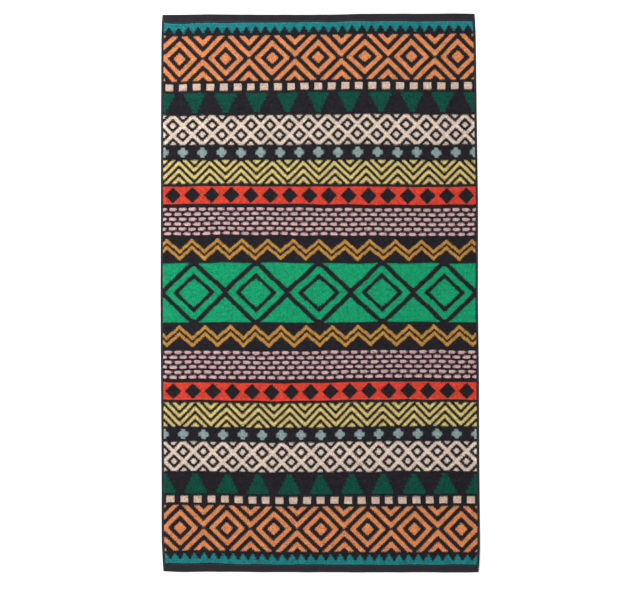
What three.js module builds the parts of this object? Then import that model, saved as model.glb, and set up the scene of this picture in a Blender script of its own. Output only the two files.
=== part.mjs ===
// Bath towel of terry cloth, lying face up and flat on a surface.
// Millimetres, +Z up. Its width runs along X and its length along Y.
// The origin is on the surface, under the middle of the towel.
import * as THREE from "three";

// Driving dimensions
const TOWEL_WIDTH = 800;
const TOWEL_LENGTH = 1400;
const END_HEM_DEPTH = 19;
const SIDE_HEM_DEPTH = 6;
const RIM_THICKNESS = 1.8;
const HEM_THICKNESS = 3;
const STITCH_LINE_THICKNESS = 2.6;
const PILE_THICKNESS = 5.2;
const CORNER_CUT = 1.3;
const COLUMN_PITCH = 23;
const ROW_PITCH = 28;
const CHARCOAL = "#2c2a31";

// How thick the cloth is, going in from an end: the flat-woven hem is turned over and
// stitched down, and past it the loops of the pile stand up on both faces.
const END_SECTION = [
  { inset: 0, thick: RIM_THICKNESS },
  { inset: 2, thick: HEM_THICKNESS },
  { inset: END_HEM_DEPTH - 3, thick: HEM_THICKNESS },
  { inset: END_HEM_DEPTH, thick: STITCH_LINE_THICKNESS },
  { inset: END_HEM_DEPTH + 5, thick: PILE_THICKNESS },
];

// The same going in from a side, where the hem is narrow
const SIDE_SECTION = [
  { inset: 0, thick: RIM_THICKNESS },
  { inset: 1.5, thick: HEM_THICKNESS },
  { inset: SIDE_HEM_DEPTH, thick: STITCH_LINE_THICKNESS },
  { inset: SIDE_HEM_DEPTH + 5, thick: PILE_THICKNESS },
];

// The hems are woven tighter than the pile, so the cloth puckers lengthwise at both ends:
// low waves across it that fade going in, a little uneven in their spacing, in radians
const PUCKER_LIFT = 2.2;
const PUCKER_PITCH = 104;
const PUCKER_REACH = 150;
const PUCKER_SHARE_AT_EDGE = 0.45;
const PUCKER_STRAY = 1.3;
const PUCKER_STRAY_PITCH = 820;
const PUCKER_START = { top: 0.6, bottom: 2.9 };

// How far each long side lies inside the full width, going down the towel from the top end
const LONG_SIDES = [
  { along: 700, left: 5.0, right: 13.5 },
  { along: 680, left: 3.6, right: 12.2 },
  { along: 640, left: 2.2, right: 10.5 },
  { along: 500, left: 1.3, right: 8.7 },
  { along: 360, left: 0.9, right: 6.8 },
  { along: 220, left: 0.7, right: 4.9 },
  { along: -20, left: 0, right: 4.9 },
  { along: -200, left: 0.9, right: 2.7 },
  { along: -420, left: 2.5, right: 1.6 },
  { along: -620, left: 3.0, right: 0 },
  { along: -675, left: 5.6, right: 1.6 },
  { along: -700, left: 7.4, right: 3.6 },
];

// How far each end lies inside the full length, going from the left side to the right
const SHORT_ENDS = [
  { across: -400, top: 3.4, bottom: 3.2 },
  { across: -360, top: 3.0, bottom: 1.4 },
  { across: -280, top: 2.1, bottom: 1.9 },
  { across: -160, top: 2.8, bottom: 1.1 },
  { across: 20, top: 2.7, bottom: 0.6 },
  { across: 130, top: 0.5, bottom: 0.3 },
  { across: 260, top: 0.4, bottom: 0.5 },
  { across: 370, top: 0, bottom: 0 },
  { across: 400, top: 0.6, bottom: 0.8 },
];

// Soft rumples, where the cloth lifts off the surface: the middle, the length and width
// over all, the turn in degrees from the towel's width, and the lift at the crest
const RUMPLES = [
  { across: -235, along: 505, length: 470, width: 150, turn: 16, lift: 4.2 },
  { across: 225, along: 565, length: 360, width: 120, turn: -14, lift: 2.8 },
  { across: 175, along: 330, length: 520, width: 150, turn: 24, lift: 3.4 },
  { across: -205, along: 235, length: 430, width: 140, turn: -30, lift: 2.6 },
  { across: 245, along: 70, length: 400, width: 150, turn: -9, lift: 3.6 },
  { across: -235, along: -105, length: 440, width: 150, turn: 13, lift: 3.8 },
  { across: 205, along: -215, length: 440, width: 140, turn: -26, lift: 2.8 },
  { across: -170, along: -390, length: 470, width: 140, turn: 21, lift: 3.6 },
  { across: 235, along: -500, length: 400, width: 140, turn: 11, lift: 3.4 },
  { across: -240, along: -600, length: 360, width: 110, turn: -12, lift: 2.4 },
];

// Value of a named column of a table at a place, on a smooth curve through the rows
function valueAt(table, placeColumn, valueColumn, place) {
  const rows = [...table].sort((a, b) => a[placeColumn] - b[placeColumn]);
  const last = rows.length - 1;
  const at = (i) => rows[THREE.MathUtils.clamp(i, 0, last)];
  let i = 0;
  while (i < last - 1 && place > rows[i + 1][placeColumn]) i += 1;
  const slope = (j) =>
    (at(j + 1)[valueColumn] - at(j - 1)[valueColumn]) / (at(j + 1)[placeColumn] - at(j - 1)[placeColumn]);
  const span = rows[i + 1][placeColumn] - rows[i][placeColumn];
  const t = THREE.MathUtils.clamp((place - rows[i][placeColumn]) / span, 0, 1);
  const a = rows[i][valueColumn];
  const b = rows[i + 1][valueColumn];
  const into = slope(i) * span;
  const out = slope(i + 1) * span;
  return a + t * (into + t * (3 * (b - a) - 2 * into - out + t * (into + out - 2 * (b - a))));
}

// Thickness at a distance in from an edge, straight between the rows of the section
function thicknessAt(section, inset) {
  const next = section.findIndex((row) => row.inset >= inset);
  if (next < 0) return section[section.length - 1].thick;
  if (next === 0) return section[0].thick;
  const a = section[next - 1];
  const b = section[next];
  return THREE.MathUtils.lerp(a.thick, b.thick, (inset - a.inset) / (b.inset - a.inset));
}

// A rumple is an oval swell with soft sides, and the cloth round it stays down.
function rumpleLift(rumple, x, y) {
  const turn = THREE.MathUtils.degToRad(rumple.turn);
  const dx = x - rumple.across;
  const dy = y - rumple.along;
  const alongIt = (dx * Math.cos(turn) + dy * Math.sin(turn)) / (rumple.length / 2);
  const acrossIt = (dy * Math.cos(turn) - dx * Math.sin(turn)) / (rumple.width / 2);
  const reach = Math.min(1, Math.hypot(alongIt, acrossIt));
  return rumple.lift * Math.cos((reach * Math.PI) / 2) ** 2;
}

// Only the crests of the waves lift, and the cloth between them stays down.
function puckerLift(x, y) {
  const inset = TOWEL_LENGTH / 2 - Math.abs(y);
  const start = y > 0 ? PUCKER_START.top : PUCKER_START.bottom;
  const stray = PUCKER_STRAY * Math.sin((2 * Math.PI * x) / PUCKER_STRAY_PITCH + start);
  const crest = Math.max(0, Math.sin((2 * Math.PI * x) / PUCKER_PITCH + start + stray)) ** 2;
  const pastHem = THREE.MathUtils.clamp((inset - END_HEM_DEPTH) / PUCKER_REACH, 0, 1);
  const fade = Math.cos((pastHem * Math.PI) / 2) ** 2;
  const overHem = THREE.MathUtils.clamp(inset / END_HEM_DEPTH, 0, 1);
  return PUCKER_LIFT * crest * fade * THREE.MathUtils.lerp(PUCKER_SHARE_AT_EDGE, 1, overHem);
}

function liftAt(x, y) {
  return RUMPLES.reduce((lift, rumple) => lift + rumpleLift(rumple, x, y), puckerLift(x, y));
}

// Distances from one edge to the other at which the mesh has a line: one at each step of the
// section on both edges, and even ones between
function meshLines(section, size, pitch) {
  const edge = section.map((row) => row.inset);
  const inner = edge[edge.length - 1];
  const count = Math.round((size - 2 * inner) / pitch);
  const middle = Array.from({ length: count - 1 }, (_, i) => inner + ((size - 2 * inner) * (i + 1)) / count);
  return [...edge, ...middle, ...edge.map((inset) => size - inset).reverse()];
}

// Both faces of the cloth and the rim round it, as one closed mesh
function towelGeometry() {
  const columns = meshLines(SIDE_SECTION, TOWEL_WIDTH, COLUMN_PITCH);
  const rows = meshLines(END_SECTION, TOWEL_LENGTH, ROW_PITCH);
  const lastColumn = columns.length - 1;
  const lastRow = rows.length - 1;
  const positions = [];
  const index = [];

  for (const isTop of [false, true]) {
    rows.forEach((fromBottom, j) => {
      columns.forEach((fromLeft, i) => {
        const along = fromBottom - TOWEL_LENGTH / 2;
        const across = fromLeft - TOWEL_WIDTH / 2;
        const left = -TOWEL_WIDTH / 2 + Math.max(0, valueAt(LONG_SIDES, "along", "left", along));
        const right = TOWEL_WIDTH / 2 - Math.max(0, valueAt(LONG_SIDES, "along", "right", along));
        const bottom = -TOWEL_LENGTH / 2 + Math.max(0, valueAt(SHORT_ENDS, "across", "bottom", across));
        const top = TOWEL_LENGTH / 2 - Math.max(0, valueAt(SHORT_ENDS, "across", "top", across));
        const isCorner = (i === 0 || i === lastColumn) && (j === 0 || j === lastRow);
        const cut = isCorner ? CORNER_CUT : 0;
        const x = THREE.MathUtils.lerp(left, right, fromLeft / TOWEL_WIDTH) - Math.sign(across) * cut;
        const y = THREE.MathUtils.lerp(bottom, top, fromBottom / TOWEL_LENGTH) - Math.sign(along) * cut;
        const thick = Math.min(
          thicknessAt(SIDE_SECTION, Math.min(fromLeft, TOWEL_WIDTH - fromLeft)),
          thicknessAt(END_SECTION, Math.min(fromBottom, TOWEL_LENGTH - fromBottom)),
        );
        positions.push(x, y, liftAt(x, y) + (isTop ? thick : 0));
      });
    });
  }

  const vertex = (isTop, i, j) => (isTop ? columns.length * rows.length : 0) + j * columns.length + i;
  for (let j = 0; j < lastRow; j += 1) {
    for (let i = 0; i < lastColumn; i += 1) {
      for (const isTop of [false, true]) {
        const a = vertex(isTop, i, j);
        const b = vertex(isTop, i + 1, j);
        const c = vertex(isTop, i + 1, j + 1);
        const d = vertex(isTop, i, j + 1);
        const triangles = (i + j) % 2 === 0 ? [a, b, c, a, c, d] : [a, b, d, b, c, d];
        index.push(...(isTop ? triangles : triangles.reverse()));
      }
    }
  }

  // The rim goes once round the outline, anticlockwise as seen from above.
  const outline = [];
  for (let i = 0; i < lastColumn; i += 1) outline.push([i, 0]);
  for (let j = 0; j < lastRow; j += 1) outline.push([lastColumn, j]);
  for (let i = lastColumn; i > 0; i -= 1) outline.push([i, lastRow]);
  for (let j = lastRow; j > 0; j -= 1) outline.push([0, j]);
  outline.forEach(([i, j], k) => {
    const [nextI, nextJ] = outline[(k + 1) % outline.length];
    const low = vertex(false, i, j);
    const high = vertex(true, i, j);
    const nextLow = vertex(false, nextI, nextJ);
    const nextHigh = vertex(true, nextI, nextJ);
    index.push(low, nextLow, nextHigh, low, nextHigh, high);
  });

  const geometry = new THREE.BufferGeometry();
  geometry.setAttribute("position", new THREE.Float32BufferAttribute(positions, 3));
  geometry.setIndex(index);
  geometry.computeVertexNormals();
  return geometry;
}

const terry = new THREE.MeshStandardMaterial({ color: CHARCOAL, roughness: 0.95, metalness: 0 });

const towel = new THREE.Mesh(towelGeometry(), terry);
towel.name = "towel";

const bathTowel = new THREE.Group();
bathTowel.add(towel);

export default bathTowel;
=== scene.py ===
"""Bath towel of terry cloth, lying face up on a white card and seen from straight above.

Blender works in metres with +Z up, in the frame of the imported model: X runs across the towel
and Y along it. Sizes and tables are in millimetres, and MM turns them into metres."""
import math
import bpy
import numpy as np
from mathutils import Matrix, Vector


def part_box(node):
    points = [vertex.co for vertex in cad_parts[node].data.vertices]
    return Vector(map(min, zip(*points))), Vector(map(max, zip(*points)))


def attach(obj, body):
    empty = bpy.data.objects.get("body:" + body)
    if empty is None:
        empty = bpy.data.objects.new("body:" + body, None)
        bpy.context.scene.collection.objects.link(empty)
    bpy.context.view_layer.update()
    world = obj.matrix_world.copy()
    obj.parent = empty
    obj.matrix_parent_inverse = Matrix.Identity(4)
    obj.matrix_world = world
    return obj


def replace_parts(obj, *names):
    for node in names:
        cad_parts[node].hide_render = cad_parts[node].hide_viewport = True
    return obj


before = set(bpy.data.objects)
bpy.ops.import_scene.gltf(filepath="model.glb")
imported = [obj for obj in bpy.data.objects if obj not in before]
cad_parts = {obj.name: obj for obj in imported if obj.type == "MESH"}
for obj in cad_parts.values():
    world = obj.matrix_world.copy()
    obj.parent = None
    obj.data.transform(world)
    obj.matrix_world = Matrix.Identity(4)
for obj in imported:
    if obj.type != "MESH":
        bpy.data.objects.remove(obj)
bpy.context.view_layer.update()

MM = 0.001
random = np.random.default_rng(20)


def table(columns, *rows):
    """Rows of numbers under named columns, in rising order of the first column."""
    made = np.array(list(rows), dtype=[(name, float) for name in columns.split()])
    return made[np.argsort(made[made.dtype.names[0]])]


# Sizes of the cloth
LOWEST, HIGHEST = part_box("towel")
TOWEL_WIDTH = round((HIGHEST.x - LOWEST.x) / MM, 1)
TOWEL_LENGTH = round((HIGHEST.y - LOWEST.y) / MM, 1)
END_HEM_DEPTH = 19
PILE_THICKNESS = 5.2
GROUND_HEIGHT = 1.7
CORNER_CUT = 1.3

# How uneven the weave is: its swells and their width on the face, and its pebbles underneath
WEAVE_SWELL = 0.12
WEAVE_SWELL_WIDTH = 9
PEBBLE_HEIGHT = 0.5

# Going in from an end: the rolled edge, the turned hem, its line of stitches and the ground
# weave that the loops stand on. Each row gives the heights of the top and of the underside.
END_SECTION = table(
    "inset top under",
    (0, 1.30, 1.30),
    (0.5, 2.40, 0.35),
    (1.8, 2.95, 0),
    (6.5, 2.85, 0),
    (12.0, 3.00, 0),
    (15.4, 2.85, 0),
    (16.5, 2.15, 0.10),
    (17.7, 2.70, 0),
    (20.0, GROUND_HEIGHT, 0),
)

# The same going in from a side, where the hem is narrow
SIDE_SECTION = table(
    "inset top under",
    (0, 1.30, 1.30),
    (0.5, 2.30, 0.35),
    (2.4, 2.90, 0),
    (4.2, 2.15, 0.10),
    (5.2, 2.60, 0),
    (6.5, GROUND_HEIGHT, 0),
)

# The stitches of the hems. Each is turned a little, by an angle in radians, and its middle
# stands over the cloth by a share of its height. Those of the sides start close to the ends.
END_STITCH_INSET = 16.5
SIDE_STITCH_INSET = 4.2
STITCH_PITCH = 3.4
STITCH_LENGTH = 2.9
STITCH_WIDTH = 0.8
STITCH_HEIGHT = 0.5
STITCH_STANDS_OVER = 0.3
STITCH_TURN = 0.06
SIDE_STITCHES_START = 2

# The hems are woven tighter than the pile, so the cloth puckers lengthwise at both ends: low
# waves across it that fade going in, a little uneven in their spacing, with starts in radians
PUCKER_LIFT = 2.2
PUCKER_PITCH = 104
PUCKER_REACH = 150
PUCKER_SHARE_AT_EDGE = 0.45
PUCKER_STRAY = 1.3
PUCKER_STRAY_PITCH = 820
PUCKER_START_TOP = 0.6
PUCKER_START_BOTTOM = 2.9

# How far each long side lies inside the full width
LONG_SIDES = table(
    "along left right",
    (-700, 7.4, 3.6),
    (-675, 5.6, 1.6),
    (-620, 3.0, 0),
    (-420, 2.5, 1.6),
    (-200, 0.9, 2.7),
    (-20, 0, 4.9),
    (220, 0.7, 4.9),
    (360, 0.9, 6.8),
    (500, 1.3, 8.7),
    (640, 2.2, 10.5),
    (680, 3.6, 12.2),
    (700, 5.0, 13.5),
)

# How far each end lies inside the full length
SHORT_ENDS = table(
    "across top bottom",
    (-400, 3.4, 3.2),
    (-360, 3.0, 1.4),
    (-280, 2.1, 1.9),
    (-160, 2.8, 1.1),
    (20, 2.7, 0.6),
    (130, 0.5, 0.3),
    (260, 0.4, 0.5),
    (370, 0, 0),
    (400, 0.6, 0.8),
)

# Soft rumples: the middle, the length and width over all, the turn in degrees from the
# towel's width, and the lift at the crest
RUMPLES = table(
    "across along length width turn lift",
    (-235, 505, 470, 150, 16, 4.2),
    (225, 565, 360, 120, -14, 2.8),
    (175, 330, 520, 150, 24, 3.4),
    (-205, 235, 430, 140, -30, 2.6),
    (245, 70, 400, 150, -9, 3.6),
    (-235, -105, 440, 150, 13, 3.8),
    (205, -215, 440, 140, -26, 2.8),
    (-170, -390, 470, 140, 21, 3.6),
    (235, -500, 400, 140, 11, 3.4),
    (-240, -600, 360, 110, -12, 2.4),
)

# Where the cloth has crept in its own plane, so that the woven bands waver: the middle and the
# reach of each patch, and how far its middle has moved to the right and up
SWAYS = table(
    "across along reach right up",
    (-330, 610, 300, 0.8, -3.6),
    (60, 470, 280, -1.6, 1.8),
    (270, 270, 300, 1.8, -2.4),
    (-160, 90, 320, -2.0, 2.6),
    (200, -120, 300, 1.6, 2.2),
    (-130, -310, 280, 1.8, -2.6),
    (310, -450, 260, -1.4, 2.0),
    (-340, -600, 260, 1.2, 3.2),
)

# The edges don't creep, and the rest does so fully from this far in.
SWAY_STARTS_OVER = 18

# The rows and columns of loops also wobble a little, in patches of a size.
WOBBLE = 0.8
WOBBLE_SIZE = 50

# The pile has one loop for each square of the weaver's chart, and a cell of the cloth's mesh
# lies under every two by two loops.
COLUMNS = 320
FIELD_WIDTH = TOWEL_WIDTH - 2 * SIDE_SECTION["inset"][-1]
FIELD_LENGTH = TOWEL_LENGTH - 2 * END_SECTION["inset"][-1]
LOOPS_PER_CELL = 2
PILE_STRIPS = 5

# The least and most length and width of a loop, and how deep its roots are sunk in the ground
# weave. A loop strays from its square, leans and turns by itself, and also leans and turns with
# its neighbours, in patches of the nap. Turns are in radians.
LOOP_LENGTH = (2.1, 2.7)
LOOP_WIDTH = (1.9, 2.4)
LOOP_SUNK = 0.25
LOOP_STRAY = 0.6
LOOP_LEAN = 0.6
LOOP_TURN = 1.3
NAP_LEAN = 0.45
NAP_LEAN_PATCH = 11
NAP_TURN = 0.5
NAP_TURN_PATCH = 14

# How tall the loops stand, as shares of the pile's thickness: in general, how much that changes
# from patch to patch, the least and most that each loop adds, the lowest and highest of all, and
# the share that is left at the edge of the field, where the pile is pressed down.
LOOP_FULLNESS = 0.9
FULLNESS_BY_PATCH = 0.06
FULLNESS_PATCH = 5
FULLNESS_BY_LOOP = (-0.07, 0.05)
FULLNESS_RANGE = (0.76, 1)
EDGE_FULLNESS = 0.84
EDGE_REACH = 3

# The photograph's frame, its scale at the towel, and where the towel's middle lies in it
PHOTO_WIDTH_PX = 640
PHOTO_HEIGHT_PX = 590
MM_PER_PX = 2.5017
TOWEL_MIDDLE_PX = (320.2, 293.0)
LENS_MM = 85
SENSOR_MM = 36

# The studio, in metres and watts
CARD_SIZE = 40
CARD_DROP = 0.0001
SURROUND_STRENGTH = 1.06
LAMP_PLACE = Vector((-1.5, 0.8, 1.6))
LAMP_SIZE = 1.6
LAMP_POWER = 43


# Colours

def linear(hex_colour):
    """An sRGB hex colour as the linear numbers that Blender's sockets take."""
    parts = [int(hex_colour[k:k + 2], 16) / 255 for k in (1, 3, 5)]
    return [p / 12.92 if p <= 0.04045 else ((p + 0.055) / 1.055) ** 2.4 for p in parts]


# Dyed cotton yarns
YARNS = {
    "charcoal": "#27252b",
    "orange": "#ea9b65",
    "bottle green": "#095645",
    "cream": "#eedac9",
    "straw": "#e9d488",
    "slate": "#9bafae",
    "red": "#e54c38",
    "rose": "#e7bfbf",
    "emerald": "#17ac79",
    "ochre": "#ce9a49",
    "peach": "#e4ccb9",
    "teal": "#218e92",
}
HEM_YARN = "#252328"
# The sewing thread in painted shade and in painted light, mixed along it for the light and shade of
# its twist
THREAD_PAINTED_SHADE = "#3c3942"
THREAD_PAINTED_LIGHT = "#4e4b55"
WHITE_CARD = "#fafafa"

# How far shades of one yarn differ about 1: from loop to loop, for a yarn of full lightness and
# by a power of its lightness, the lowest and highest, from row to row, between the three
# primaries, and from cell to cell of the ground weave. The last is painted shade: a loop's roots
# are coloured darker than its crest, for the shade that falls among the loops.
SHADE_BY_LOOP = 0.16
SHADE_BY_LIGHTNESS = -0.17
SHADE_RANGE = (0.35, 1.7)
SHADE_BY_ROW = 0.035
SHADE_BY_PRIMARY = 0.05
SHADE_BY_CELL = 0.08
PAINTED_ROOT_SHADE = 0.85


# Motifs of the woven bands. Each says which loops of its band are of the coloured yarn and not
# charcoal, from a loop's place across the cloth and up the band, both counted in loops.

def off_middle(place, repeat):
    """Whole loops between a place and the middle of its repeat."""
    return np.floor(np.abs(place % repeat - repeat / 2))


def sawteeth(across, up, rows, repeat):
    base = 2
    tooth = (rows - up) * (repeat / 2) / (rows - base)
    return (up < base) | (off_middle(across, repeat) < tooth)


def nested_diamonds(across, up, rows, repeat):
    line = 6
    ring = off_middle(across, repeat) + off_middle(up, rows)
    return ring % (2 * line) < line


def squares(across, up, rows, repeat):
    return off_middle(across, repeat) < repeat / 4


def steps(across, up, rows, repeat):
    step_depth = 4
    step_width = 2
    gap = 5
    step = up // step_depth
    return off_middle(across, repeat) < repeat / 2 - gap - step_width * step


def trellis(across, up, rows, repeat):
    bar = 3
    apart = off_middle(across, repeat) + off_middle(up + repeat / 2, repeat)
    from_opening = np.minimum(apart, repeat - 2 - apart)
    return (from_opening < bar) | (from_opening > repeat / 2 - 1 - bar)


def crosses(across, up, rows, repeat):
    arm = 2
    beside = off_middle(across, repeat)
    above = off_middle(up, rows)
    upright = (beside < arm) & (above < rows / 2)
    level = (above < arm) & (beside < rows / 2)
    return upright | level | ((beside < arm + 1) & (above < arm + 1))


def chevrons(across, up, rows, repeat):
    line = 4
    return (up + off_middle(across, repeat)) % (2 * line) < line


def hourglasses(across, up, rows, repeat):
    waist = 2
    spread = (repeat / 2 - waist) / (rows / 2 - 1)
    return off_middle(across, repeat) < waist + off_middle(up, rows) * spread


def seeds(across, up, rows, repeat):
    depth = 5
    line = up // depth
    beside = off_middle(across + line % 2 * repeat / 2, repeat)
    above = np.floor(np.abs(up % depth - depth / 2))
    return (above < 2) & (beside < 4 - above)


def zigzags(across, up, rows, repeat):
    line = 4
    gap = 3
    both = 2 * line + gap
    ridge = off_middle(across, repeat) * (rows - both) / (repeat / 2 - 1)
    above = up - ridge
    lower = (above > 0) & (above < line)
    upper = (above > line + gap) & (above < both)
    return lower | upper


def crossed_diamonds(across, up, rows, repeat):
    ring = (off_middle(across, repeat) * rows / repeat + off_middle(up, rows)) / (rows / 2)
    diamond = ring < 0.46
    border = (ring > 0.64) & (ring < 0.9)
    corners = ring > 1.12
    return diamond | border | corners


# The bands from an end of the towel to the middle one: how many loops deep each is, its yarn,
# its motif and the loops from one motif to the next. The other half is the same, turned round.
PLAIN = (3, "charcoal", None, 1)
BANDS = [
    (10, "teal", sawteeth, 10),
    PLAIN,
    (46, "orange", nested_diamonds, 48),
    PLAIN,
    (7, "peach", squares, 14),
    PLAIN,
    (20, "bottle green", steps, 32),
    PLAIN,
    (30, "cream", trellis, 20),
    PLAIN,
    (10, "slate", crosses, 20),
    PLAIN,
    (24, "straw", chevrons, 32),
    PLAIN,
    (18, "red", hourglasses, 20),
    PLAIN,
    (30, "rose", seeds, 10),
    PLAIN,
    (22, "ochre", zigzags, 26),
    PLAIN,
]
MIDDLE_BAND = (60, "emerald", crossed_diamonds, 64)


def weave_chart():
    """For each loop, row by row from the bottom end: the yarn on the face and the yarn on the
    back, as linear colours. Where a band's yarn isn't on the face, it shows on the back."""
    yarns = {name: np.array(linear(colour)) for name, colour in YARNS.items()}
    upper_half = [(band, True) for band in reversed(BANDS)]
    bands = [(band, False) for band in BANDS] + [(MIDDLE_BAND, False)] + upper_half
    from_middle = np.arange(COLUMNS)[None, :] + 0.5 - COLUMNS / 2
    faces = []
    backs = []
    for (rows, yarn, motif, repeat), is_turned in bands:
        across = from_middle + repeat / 2
        up = np.arange(rows)[:, None] + 0.5
        if is_turned:
            up = rows - up
        on_face = np.zeros((rows, COLUMNS), bool)
        if motif:
            on_face |= motif(across, up, rows, repeat)
        faces.append(np.where(on_face[:, :, None], yarns[yarn], yarns["charcoal"]))
        backs.append(np.where(on_face[:, :, None], yarns["charcoal"], yarns[yarn]))
    return np.concatenate(faces), np.concatenate(backs)


FACE_CHART, BACK_CHART = weave_chart()
ROWS = len(FACE_CHART)
COLUMN_PITCH = FIELD_WIDTH / COLUMNS
ROW_PITCH = FIELD_LENGTH / ROWS


# Where the cloth lies

def fade(reach):
    """1 at the middle of a patch, falling softly to 0 at a reach of 1."""
    return np.cos(np.clip(reach, 0, 1) * math.pi / 2) ** 2


def ease(share):
    """0 to 1, with a soft start and end."""
    share = np.clip(share, 0, 1)
    return share * share * (3 - 2 * share)


def uneven(x, y, size, seed):
    """Smooth unevenness from about -1 to 1, in bumps about size millimetres across."""
    waves = np.random.default_rng(seed)
    total = 0
    for turn in np.linspace(0, math.pi, 7, endpoint=False) + waves.uniform(0, 0.3, 7):
        pitch = 2 * size * waves.uniform(0.75, 1.35)
        along = x * math.cos(turn) + y * math.sin(turn)
        total = total + np.sin(2 * math.pi * along / pitch + waves.uniform(0, 2 * math.pi))
    return total / 3


def on_curve(rows, value, place):
    """A named column at a place, on a smooth curve through the table's rows."""
    places = rows[rows.dtype.names[0]]
    values = rows[value]
    last = len(rows) - 1
    before = np.maximum(np.arange(last + 1) - 1, 0)
    after = np.minimum(np.arange(last + 1) + 1, last)
    slope = (values[after] - values[before]) / (places[after] - places[before])
    i = np.clip(np.searchsorted(places, place) - 1, 0, last - 1)
    span = places[i + 1] - places[i]
    t = np.clip((place - places[i]) / span, 0, 1)
    rise = values[i + 1] - values[i]
    into = slope[i] * span
    out = slope[i + 1] * span
    return values[i] + t * (into + t * (3 * rise - 2 * into - out + t * (into + out - 2 * rise)))


def place_in_plan(across, along):
    """Where a point of the evenly woven cloth lies, with its uneven outline and its creep."""
    left = -TOWEL_WIDTH / 2 + np.maximum(0, on_curve(LONG_SIDES, "left", along))
    right = TOWEL_WIDTH / 2 - np.maximum(0, on_curve(LONG_SIDES, "right", along))
    bottom = -TOWEL_LENGTH / 2 + np.maximum(0, on_curve(SHORT_ENDS, "bottom", across))
    top = TOWEL_LENGTH / 2 - np.maximum(0, on_curve(SHORT_ENDS, "top", across))
    x = left + (right - left) * (across / TOWEL_WIDTH + 0.5)
    y = bottom + (top - bottom) * (along / TOWEL_LENGTH + 0.5)
    from_side = TOWEL_WIDTH / 2 - np.abs(across)
    from_end = TOWEL_LENGTH / 2 - np.abs(along)
    loose = ease(np.minimum(from_side, from_end) / SWAY_STARTS_OVER)
    for sway in SWAYS:
        moved = loose * fade(np.hypot(across - sway["across"], along - sway["along"]) / sway["reach"])
        x = x + sway["right"] * moved
        y = y + sway["up"] * moved
    wobble = WOBBLE * loose
    x = x + wobble * uneven(across, along, WOBBLE_SIZE, seed=21)
    y = y + wobble * uneven(across, along, WOBBLE_SIZE, seed=22)
    return x, y


def lift_at(x, y):
    """How far the cloth stands off the surface: its rumples, and the puckers at both ends."""
    inset = TOWEL_LENGTH / 2 - np.abs(y)
    start = np.where(y > 0, PUCKER_START_TOP, PUCKER_START_BOTTOM)
    stray = PUCKER_STRAY * np.sin(2 * math.pi * x / PUCKER_STRAY_PITCH + start)
    crest = np.maximum(0, np.sin(2 * math.pi * x / PUCKER_PITCH + start + stray)) ** 2
    over_hem = np.clip(inset / END_HEM_DEPTH, 0, 1)
    share = PUCKER_SHARE_AT_EDGE + (1 - PUCKER_SHARE_AT_EDGE) * over_hem
    lift = PUCKER_LIFT * crest * share * fade((inset - END_HEM_DEPTH) / PUCKER_REACH)
    for rumple in RUMPLES:
        turn = math.radians(rumple["turn"])
        right = x - rumple["across"]
        up = y - rumple["along"]
        along_it = (right * math.cos(turn) + up * math.sin(turn)) / (rumple["length"] / 2)
        across_it = (up * math.cos(turn) - right * math.sin(turn)) / (rumple["width"] / 2)
        lift = lift + rumple["lift"] * fade(np.hypot(along_it, across_it))
    return lift


def cloth_heights(across, along, x, y):
    """Heights of the top and underside of the ground weave and hems, over the lift."""
    from_side = TOWEL_WIDTH / 2 - np.abs(across)
    from_end = TOWEL_LENGTH / 2 - np.abs(along)
    top = np.minimum(
        np.interp(from_side, SIDE_SECTION["inset"], SIDE_SECTION["top"]),
        np.interp(from_end, END_SECTION["inset"], END_SECTION["top"]),
    )
    under = np.maximum(
        np.interp(from_side, SIDE_SECTION["inset"], SIDE_SECTION["under"]),
        np.interp(from_end, END_SECTION["inset"], END_SECTION["under"]),
    )
    rim = 2
    off_rim = np.clip(np.minimum(from_side, from_end) / rim, 0, 1)
    return top + WEAVE_SWELL * off_rim * uneven(x, y, WEAVE_SWELL_WIDTH, seed=3), under


# Making meshes

def mesh_of(name, places, faces):
    """A mesh from corner places in millimetres and faces that all have as many corners."""
    mesh = bpy.data.meshes.new(name)
    mesh.vertices.add(len(places))
    mesh.vertices.foreach_set("co", (places * MM).astype(np.float32).ravel())
    mesh.loops.add(faces.size)
    mesh.loops.foreach_set("vertex_index", faces.astype(np.int32).ravel())
    mesh.polygons.add(len(faces))
    first_loops = np.arange(0, faces.size, faces.shape[1], dtype=np.int32)
    mesh.polygons.foreach_set("loop_start", first_loops)
    mesh.polygons.foreach_set("use_smooth", np.ones(len(faces), bool))
    mesh.update(calc_edges=True)
    return mesh


def joined_copies(name, corners, faces):
    """One mesh of many copies of a shape, from the corner places of each copy."""
    first_corner = np.arange(len(corners))[:, None, None] * corners.shape[1]
    all_faces = (first_corner + faces).reshape(-1, faces.shape[1])
    return mesh_of(name, corners.reshape(-1, 3), all_faces)


def modelled_once(shape):
    """Corner places and faces of a small shape that was just modelled, which is then deleted."""
    places = np.array([v.co for v in shape.data.vertices])
    faces = np.array([list(face.vertices) for face in shape.data.polygons])
    bpy.data.meshes.remove(shape.data)
    return places, faces


def set_yarn_colours(mesh, domain, colours):
    """Stores the yarns' colours, which the cotton materials read. On the pile they include the
    painted shade at the loops' roots.
    """
    layer = mesh.color_attributes.new("yarn", "FLOAT_COLOR", domain)
    opaque = np.ones((len(colours), 1))
    layer.data.foreach_set("color", np.hstack([colours, opaque]).astype(np.float32).ravel())


def set_bake_map(mesh, spots):
    """Stores the bake map, which places each face's colour, so that every loop gets its own pixels.
    """
    layer = mesh.uv_layers.new(name="OFBake")
    layer.data.foreach_set("uv", spots.astype(np.float32).ravel())


def new_piece(name, mesh, materials):
    """A piece of the towel, which rides with its body."""
    piece = bpy.data.objects.new(name, mesh)
    bpy.context.scene.collection.objects.link(piece)
    for material in materials:
        mesh.materials.append(material)
    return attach(piece, "root")


# Materials

# How many radians a wave texture turns in one unit of its coordinate
WAVE_TEXTURE_TURNS = 20

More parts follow.
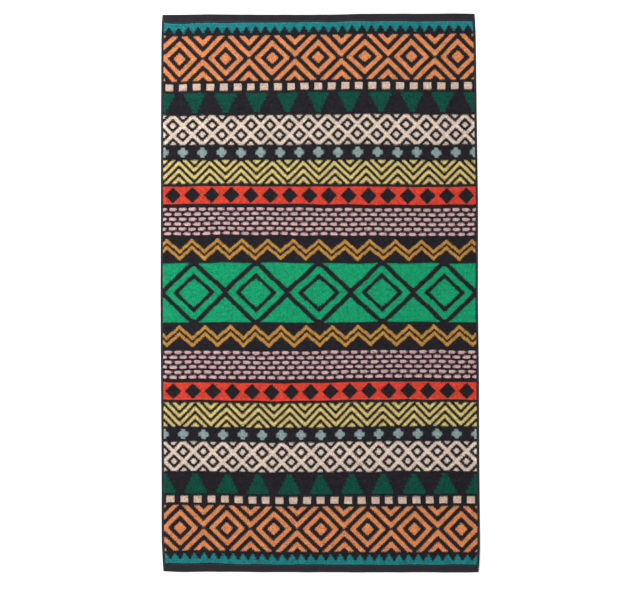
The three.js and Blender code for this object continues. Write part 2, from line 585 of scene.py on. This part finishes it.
# The faint gloss of dyed cotton, which its fibres scatter
COTTON_GLOSS = 0.08

# The values between which most of a patch's noise lies, and most of a grain's height
PATCH_RANGE = (0.3, 0.7)
GRAIN_RANGE = (0.2, 0.8)


def add_node(tree, kind, inputs=None, **properties):
    """Adds a node with its properties. An input, by name or number, takes a value or a link."""
    node = tree.nodes.new(kind)
    for name, value in properties.items():
        setattr(node, name, value)
    for name, value in (inputs or {}).items():
        if isinstance(value, bpy.types.NodeSocket):
            tree.links.new(value, node.inputs[name])
        else:
            node.inputs[name].default_value = value
    return node


def new_material(name):
    """A material with no nodes yet, and its node tree."""
    material = bpy.data.materials.new(name)
    material.use_nodes = True
    material.node_tree.nodes.clear()
    return material, material.node_tree


def loose_fibres(tree, place, size):
    """Height of yarn whose fibres stand off it in tufts of a size."""
    fibres = add_node(tree, "ShaderNodeTexNoise", {
        "Vector": place, "Scale": 1 / (size * MM), "Detail": 3,
    })
    return fibres.outputs["Fac"]


def crossing_threads(tree, place, pitch):
    """Height of a plain weave: ridges both ways at a pitch, highest where two threads cross."""
    scale = 2 * math.pi / (WAVE_TEXTURE_TURNS * pitch * MM)
    warp, weft = (
        add_node(tree, "ShaderNodeTexWave", {
            "Vector": place, "Scale": scale, "Distortion": 1.5, "Detail": 1,
        }, bands_direction=direction).outputs["Fac"]
        for direction in "XY"
    )
    crossings = add_node(tree, "ShaderNodeMath", {0: warp, 1: weft}, operation="MULTIPLY")
    return crossings.outputs["Value"]


def about_one(tree, height, height_range, depth):
    """A factor about 1 that follows a height."""
    factor = add_node(tree, "ShaderNodeMapRange", {
        "Value": height, "From Min": height_range[0], "From Max": height_range[1],
        "To Min": 1 - depth, "To Max": 1 + depth,
    })
    return factor.outputs["Result"]


def cotton(name, patch, patch_depth, grain, grain_size, painted_grain_shade, bump, roughness, sheen):
    """Dyed cotton whose colour, and any painted shade, is stored in the mesh. It is lighter and
    darker in patches, and its grain gives the bump and also painted shade: the colour is darker in
    the grain's hollows and lighter on its high points. The sizes of both and the bump are in
    millimetres, and the patches' depth and the painted grain shade are shares of the colour."""
    material, tree = new_material(name)
    place = add_node(tree, "ShaderNodeTexCoord").outputs["Object"]
    dye = add_node(tree, "ShaderNodeAttribute", attribute_name="yarn").outputs["Color"]
    patches = add_node(tree, "ShaderNodeTexNoise", {
        "Vector": place, "Scale": 1 / (patch * MM), "Detail": 2,
    })
    height = grain(tree, place, grain_size)
    # Painted shade and light: the colour follows the grain's height, darker in its hollows and
    # lighter on its high points.
    shade = add_node(tree, "ShaderNodeMath", {
        0: about_one(tree, patches.outputs["Fac"], PATCH_RANGE, patch_depth),
        1: about_one(tree, height, GRAIN_RANGE, painted_grain_shade),
    }, operation="MULTIPLY")
    colour = add_node(tree, "ShaderNodeVectorMath", {
        0: dye, "Scale": shade.outputs["Value"],
    }, operation="SCALE")
    relief = add_node(tree, "ShaderNodeBump", {"Height": height, "Distance": bump * MM})
    surface = add_node(tree, "ShaderNodeBsdfPrincipled", {
        "Base Color": colour.outputs["Vector"], "Normal": relief.outputs["Normal"],
        "Roughness": roughness, "Specular IOR Level": COTTON_GLOSS,
        "Sheen Weight": sheen, "Sheen Roughness": 0.5,
    })
    add_node(tree, "ShaderNodeOutputMaterial", {"Surface": surface.outputs["BSDF"]})
    return material


def terry_loops():
    """Uncut loops of soft cotton yarn: fully matt, with a faint bloom of fibres at grazing
    angles, and patches a few loops across painted lighter or darker, as the painted light and shade
    of a nap that leans."""
    # Painted light and shade: the colour patches stand for a leaning nap catching the light.
    return cotton(
        "cotton_terry_loops", patch=9, patch_depth=0.07,
        grain=loose_fibres, grain_size=1.5, painted_grain_shade=0.1, bump=0.3,
        roughness=0.95, sheen=0.2,
    )


def ground_weave():
    """The plain weave under the loops and the low loops of the back: matt and pebbly."""
    return cotton(
        "cotton_ground_weave", patch=9, patch_depth=0.08,
        grain=loose_fibres, grain_size=2.2, painted_grain_shade=0.12, bump=0.8,
        roughness=0.95, sheen=0.15,
    )


def flat_woven_hem():
    """Close plain weave, turned over and pressed: smoother than the pile, with a fine grain.
    The real threads are half a millimetre apart, and are drawn 1.2 mm apart so that they show."""
    return cotton(
        "cotton_flat_woven_hem", patch=16, patch_depth=0.12,
        grain=crossing_threads, grain_size=1.2, painted_grain_shade=0.15, bump=0.25,
        roughness=0.85, sheen=0.06,
    )


def sewing_thread():
    """Mercerised cotton thread: a little smoother and brighter than the hem that it holds, with
    painted light and shade of its twist, darker and lighter every 0.8 millimetres or so."""
    material, tree = new_material("mercerised_cotton_thread")
    place = add_node(tree, "ShaderNodeTexCoord").outputs["Object"]
    twist = add_node(tree, "ShaderNodeTexNoise", {
        "Vector": place, "Scale": 1 / (0.8 * MM), "Detail": 2,
    })
    # Painted light and shade of the thread's twist, mixed by noise
    dye = add_node(tree, "ShaderNodeMixRGB", {
        "Fac": twist.outputs["Fac"],
        "Color1": linear(THREAD_PAINTED_SHADE) + [1], "Color2": linear(THREAD_PAINTED_LIGHT) + [1],
    })
    surface = add_node(tree, "ShaderNodeBsdfPrincipled", {
        "Base Color": dye.outputs["Color"],
        "Roughness": 0.6, "Specular IOR Level": 0.3, "Sheen Weight": 0.1,
    })
    add_node(tree, "ShaderNodeOutputMaterial", {"Surface": surface.outputs["BSDF"]})
    return material


def white_card():
    """Matt coated card under soft light: an even white with no gloss."""
    material, tree = new_material("matt_white_card")
    surface = add_node(tree, "ShaderNodeBsdfPrincipled", {
        "Base Color": linear(WHITE_CARD) + [1], "Roughness": 0.9, "Specular IOR Level": 0.2,
    })
    add_node(tree, "ShaderNodeOutputMaterial", {"Surface": surface.outputs["BSDF"]})
    return material


# The cloth

def cloth_lines(section, size, cells):
    """Distances across the cloth at which its mesh has a line: the steps of the section at both
    edges, and even cells between. Also each line's share of the surface from edge to edge."""
    edge = section["inset"]
    middle = np.linspace(edge[-1], size - edge[-1], cells + 1)[1:-1]
    lines = np.concatenate([edge, middle, size - edge[::-1]])
    heights = np.interp(np.minimum(lines, size - lines), edge, section["top"])
    unrolled = np.concatenate([[0], np.cumsum(np.hypot(np.diff(lines), np.diff(heights)))])
    return lines, unrolled / unrolled[-1]


def cell_yarns(chart, columns, rows):
    """The mean yarn colour in each cell of the cloth: that of the hems all round, and in the
    field the mean of the loops that stand on the cell. Also which cells are in the field."""
    side_cells = len(SIDE_SECTION) - 1
    end_cells = len(END_SECTION) - 1
    colours = np.empty((len(rows) - 1, len(columns) - 1, 3))
    colours[:] = linear(HEM_YARN)
    by_cell = chart.reshape(ROWS // LOOPS_PER_CELL, LOOPS_PER_CELL, -1, LOOPS_PER_CELL, 3)
    cells = by_cell.mean((1, 3))
    shades = random.normal(1, SHADE_BY_CELL, cells.shape[:2] + (1,))
    colours[end_cells:-end_cells, side_cells:-side_cells] = cells * shades
    in_field = np.zeros(colours.shape[:2], int)
    in_field[end_cells:-end_cells, side_cells:-side_cells] = 1
    return colours.reshape(-1, 3), in_field.ravel()


def make_cloth(hem, ground):
    """The ground weave and the hems: two faces on the same lines, which meet at the rim."""
    columns, u = cloth_lines(SIDE_SECTION, TOWEL_WIDTH, COLUMNS // LOOPS_PER_CELL)
    rows, v = cloth_lines(END_SECTION, TOWEL_LENGTH, ROWS // LOOPS_PER_CELL)
    across, along = np.meshgrid(columns - TOWEL_WIDTH / 2, rows - TOWEL_LENGTH / 2)
    x, y = place_in_plan(across, along)
    at_side = np.abs(across) == TOWEL_WIDTH / 2
    at_end = np.abs(along) == TOWEL_LENGTH / 2
    x = x - np.sign(across) * CORNER_CUT * (at_side & at_end)
    y = y - np.sign(along) * CORNER_CUT * (at_side & at_end)
    lift = lift_at(x, y)
    top, under = cloth_heights(across, along, x, y)
    pebbles = random.uniform(0, PEBBLE_HEIGHT, x.shape)
    pebbles[:len(END_SECTION)] = 0
    pebbles[-len(END_SECTION):] = 0
    pebbles[:, :len(SIDE_SECTION)] = 0
    pebbles[:, -len(SIDE_SECTION):] = 0
    places = np.concatenate([
        np.stack([x, y, lift + under + pebbles], axis=2).reshape(-1, 3),
        np.stack([x, y, lift + top], axis=2).reshape(-1, 3),
    ])

    number = np.arange(x.size).reshape(x.shape)
    cells = np.stack([
        number[:-1, :-1], number[:-1, 1:], number[1:, 1:], number[1:, :-1],
    ], axis=2).reshape(-1, 4)
    top_number = np.where(at_side | at_end, number, number + x.size).ravel()
    faces = np.concatenate([cells[:, ::-1], top_number[cells]])
    used, renumbered = np.unique(faces, return_inverse=True)
    mesh = mesh_of("towel_cloth", places[used], renumbered.reshape(faces.shape))

    under_yarns, in_field = cell_yarns(BACK_CHART, columns, rows)
    top_yarns = cell_yarns(FACE_CHART, columns, rows)[0]
    by_corner = np.repeat(np.concatenate([under_yarns, top_yarns]), 4, axis=0)
    set_yarn_colours(mesh, "CORNER", by_corner)
    margin = 0.005
    narrowed = np.stack(np.meshgrid(u, v), axis=2).reshape(-1, 2) * (0.5 - 2 * margin, 1)
    top_half = narrowed + (margin, 0)
    under_half = narrowed + (0.5 + margin, 0)
    set_bake_map(mesh, np.concatenate([under_half[cells[:, ::-1]], top_half[cells]]))
    piece = new_piece("towel_cloth", mesh, [hem, ground])
    mesh.polygons.foreach_set("material_index", np.tile(in_field, 2).astype(np.int32))
    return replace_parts(piece, "towel")


# The pile

def select_edges(mesh, wanted):
    """Selects the edges whose two corner places pass a test, and leaves the mesh in edit mode."""
    bpy.ops.object.mode_set(mode="EDIT")
    bpy.ops.mesh.select_mode(type="EDGE")
    bpy.ops.mesh.select_all(action="DESELECT")
    bpy.ops.object.mode_set(mode="OBJECT")
    for edge in mesh.edges:
        edge.select = wanted(*(mesh.vertices[n].co for n in edge.vertices))
    bpy.ops.object.mode_set(mode="EDIT")


def model_loop():
    """One loop of the pile: a short length of yarn bent over, one unit long, wide and high."""
    bpy.ops.object.select_all(action="DESELECT")
    bpy.ops.mesh.primitive_plane_add(size=1)
    yarn = bpy.context.object
    select_edges(yarn.data, lambda a, b: a.y == b.y)
    bpy.ops.mesh.subdivide(number_cuts=1)
    bpy.ops.object.mode_set(mode="OBJECT")
    select_edges(yarn.data, lambda a, b: a.x == 0 and b.x == 0)
    bpy.ops.transform.translate(value=(0, 0, 1))
    bpy.ops.object.mode_set(mode="OBJECT")
    return modelled_once(yarn)


def loop_yarns():
    """The colour of each loop: its yarn from the chart, lighter or darker by how the loop is
    twisted and by its row, with slight differences of dye. Light shines on through pale loops
    and evens them out, so that dark yarns differ more."""
    lightness = FACE_CHART.mean(axis=2, keepdims=True)
    spread = SHADE_BY_LOOP * lightness ** SHADE_BY_LIGHTNESS
    by_loop = np.clip(random.normal(1, spread), *SHADE_RANGE)
    by_row = random.normal(1, SHADE_BY_ROW, (ROWS, 1, 1))
    dye = random.normal(1, SHADE_BY_PRIMARY, (ROWS, COLUMNS, 3))
    return np.minimum(FACE_CHART * by_loop * by_row * dye, 1)


def either_way(most, size):
    """Random amounts up to most, up or down."""
    return random.uniform(-most, most, size)


def loop_corners(shape):
    """The corner places of every loop. The loops stand a little unevenly, and those of every
    other row are set over by half a loop."""
    row, column = np.meshgrid(np.arange(ROWS), np.arange(COLUMNS), indexing="ij")
    size = row.shape
    set_over = np.where(row % 2 == 0, 0.25, -0.25)
    across = (column + 0.5 + set_over) * COLUMN_PITCH - FIELD_WIDTH / 2 + either_way(LOOP_STRAY, size)
    along = (row + 0.5) * ROW_PITCH - FIELD_LENGTH / 2 + either_way(LOOP_STRAY, size)
    outermost = FIELD_WIDTH / 2 - 1
    across = np.clip(across, -outermost, outermost)
    x, y = place_in_plan(across, along)

    turn = either_way(LOOP_TURN, size) + NAP_TURN * uneven(x, y, NAP_TURN_PATCH, seed=12)
    length = random.uniform(*LOOP_LENGTH, size)
    width = random.uniform(*LOOP_WIDTH, size)
    fullness = LOOP_FULLNESS + FULLNESS_BY_PATCH * uneven(x, y, FULLNESS_PATCH, seed=11)
    fullness = np.clip(fullness + random.uniform(*FULLNESS_BY_LOOP, size), *FULLNESS_RANGE)
    from_edge = np.minimum(FIELD_WIDTH / 2 - np.abs(across), FIELD_LENGTH / 2 - np.abs(along))
    raised_share = EDGE_FULLNESS + (1 - EDGE_FULLNESS) * ease(from_edge / EDGE_REACH)
    tip = PILE_THICKNESS * fullness * raised_share
    root = GROUND_HEIGHT - LOOP_SUNK
    lean_right = NAP_LEAN * uneven(x, y, NAP_LEAN_PATCH, seed=13) + either_way(LOOP_LEAN, size)
    lean_up = NAP_LEAN * uneven(x, y, NAP_LEAN_PATCH, seed=14) + either_way(LOOP_LEAN, size)

    def each(value):
        return value[:, :, None]

    ahead = shape[:, 0] * each(length)
    beside = shape[:, 1] * each(width)
    raised = shape[:, 2] * np.ones_like(ahead)
    cos = each(np.cos(turn))
    sin = each(np.sin(turn))
    return np.stack([
        each(x) + ahead * cos - beside * sin + raised * each(lean_right),
        each(y) + ahead * sin + beside * cos + raised * each(lean_up),
        each(lift_at(x, y)) + root + raised * each(tip - root),
    ], axis=3)


def bake_cells(shape, faces, columns):
    """Gives every loop of a strip its own small square of the bake map. The strip is folded in
    three there, side by side, so that the squares are about as wide as they are high."""
    folds = 3
    filled = 0.8
    rows = math.ceil(ROWS / folds)
    row, column = np.meshgrid(np.arange(ROWS), np.arange(columns), indexing="ij")
    cell = np.stack([row // rows * columns + column, row % rows], axis=2).reshape(-1, 1, 1, 2)
    spot = cell + 0.5 + filled * shape[faces][None, :, :, :2]
    return spot / (folds * columns, rows)


def make_pile(material):
    """The loops of the face, in lengthwise strips that each stay a mesh of moderate size."""
    shape, faces = model_loop()
    corners = loop_corners(shape)
    colours = loop_yarns()
    width = COLUMNS // PILE_STRIPS
    spots = bake_cells(shape, faces, width)
    # Painted shade: the corners at a loop's roots are coloured darker than its crest.
    depth = np.where(shape[:, 2] > 0, 1, PAINTED_ROOT_SHADE)
    strips = []
    for strip in range(PILE_STRIPS):
        part = slice(strip * width, (strip + 1) * width)
        name = f"pile_strip_{strip + 1}"
        mesh = joined_copies(name, corners[:, part].reshape(-1, len(shape), 3), faces)
        by_corner = colours[:, part].reshape(-1, 1, 3) * depth[None, :, None]
        set_yarn_colours(mesh, "POINT", by_corner.reshape(-1, 3))
        set_bake_map(mesh, spots)
        strips.append(new_piece(name, mesh, [material]))
    return strips


# The stitching

def model_stitch():
    """One stitch of the hem: a plump oval of thread, its ends sunk in the cloth."""
    bpy.ops.object.select_all(action="DESELECT")
    lying = (0, math.pi / 2, 0)
    bpy.ops.mesh.primitive_uv_sphere_add(segments=6, ring_count=4, radius=0.5, rotation=lying)
    stitch = bpy.context.object
    bpy.ops.object.transform_apply(location=False, rotation=True, scale=False)
    bpy.ops.object.mode_set(mode="EDIT")
    bpy.ops.mesh.select_all(action="SELECT")
    bpy.ops.transform.resize(value=(STITCH_LENGTH, STITCH_WIDTH, STITCH_HEIGHT))
    bpy.ops.mesh.quads_convert_to_tris()
    bpy.ops.object.mode_set(mode="OBJECT")
    return modelled_once(stitch)


def stitch_line(inset, other_inset, size, other_size):
    """Distances along one line of stitches from the towel's middle, and the line's own one."""
    reach = other_size / 2 - other_inset
    count = int(2 * reach / STITCH_PITCH)
    places = (np.arange(count) - (count - 1) / 2) * STITCH_PITCH
    return places, size / 2 - inset


def make_stitching(material):
    """A line of stitches along each hem. Those of the sides run on through the end hems."""
    shape, faces = model_stitch()
    ends, end_line = stitch_line(END_STITCH_INSET, SIDE_STITCH_INSET, TOWEL_LENGTH, TOWEL_WIDTH)
    sides, side_line = stitch_line(SIDE_STITCH_INSET, SIDE_STITCHES_START, TOWEL_WIDTH, TOWEL_LENGTH)
    at_ends = np.repeat([-end_line, end_line], len(ends))
    at_sides = np.repeat([-side_line, side_line], len(sides))
    across = np.concatenate([ends, ends, at_sides])
    along = np.concatenate([at_ends, sides, sides])
    turn = np.repeat([0, math.pi / 2], [len(at_ends), len(at_sides)])
    turn = turn + either_way(STITCH_TURN, len(turn))
    x, y = place_in_plan(across, along)
    surface = lift_at(x, y) + cloth_heights(across, along, x, y)[0]
    height = surface + STITCH_HEIGHT * STITCH_STANDS_OVER
    ahead, beside, up = shape[None].transpose(2, 0, 1)
    cos = np.cos(turn)[:, None]
    sin = np.sin(turn)[:, None]
    corners = np.stack([
        x[:, None] + ahead * cos - beside * sin,
        y[:, None] + ahead * sin + beside * cos,
        height[:, None] + up,
    ], axis=2)
    return new_piece("hem_stitching", joined_copies("hem_stitching", corners, faces), [material])


# The studio

def lay_card():
    """A white card, far wider than any view, just under the towel."""
    bpy.ops.object.select_all(action="DESELECT")
    bpy.ops.mesh.primitive_plane_add(size=CARD_SIZE, location=(0, 0, -CARD_DROP))
    card = bpy.context.object
    card.name = "white_card"
    card.data.materials.append(white_card())


def light_studio():
    """Even white light from all round, and a large soft lamp high on the upper left, which
    leaves the lower right a little darker."""
    world = bpy.data.worlds.new("white_studio")
    bpy.context.scene.world = world
    world.use_nodes = True
    background = world.node_tree.nodes["Background"]
    background.inputs["Color"].default_value = (1, 1, 1, 1)
    background.inputs["Strength"].default_value = SURROUND_STRENGTH
    aim = (-LAMP_PLACE).to_track_quat("-Z", "Y").to_euler()
    bpy.ops.object.light_add(type="AREA", location=LAMP_PLACE, rotation=aim)
    lamp = bpy.context.object
    lamp.name = "soft_lamp"
    lamp.visible_camera = False
    lamp.data.size = LAMP_SIZE
    lamp.data.energy = LAMP_POWER


def stand_camera():
    """Straight above, with the towel as far from the frame's middle as in the photograph."""
    right = (PHOTO_WIDTH_PX / 2 - TOWEL_MIDDLE_PX[0]) * MM_PER_PX
    up = (TOWEL_MIDDLE_PX[1] - PHOTO_HEIGHT_PX / 2) * MM_PER_PX
    distance = PHOTO_WIDTH_PX * MM_PER_PX * LENS_MM / SENSOR_MM + PILE_THICKNESS
    bpy.ops.object.camera_add(location=(right * MM, up * MM, distance * MM))
    camera = bpy.context.object
    camera.data.lens = LENS_MM
    camera.data.sensor_width = SENSOR_MM
    bpy.context.scene.camera = camera


bpy.context.scene.view_settings.view_transform = "Standard"
stand_camera()
light_studio()
lay_card()
cloth = make_cloth(flat_woven_hem(), ground_weave())
pile = make_pile(terry_loops())
stitching = make_stitching(sewing_thread())
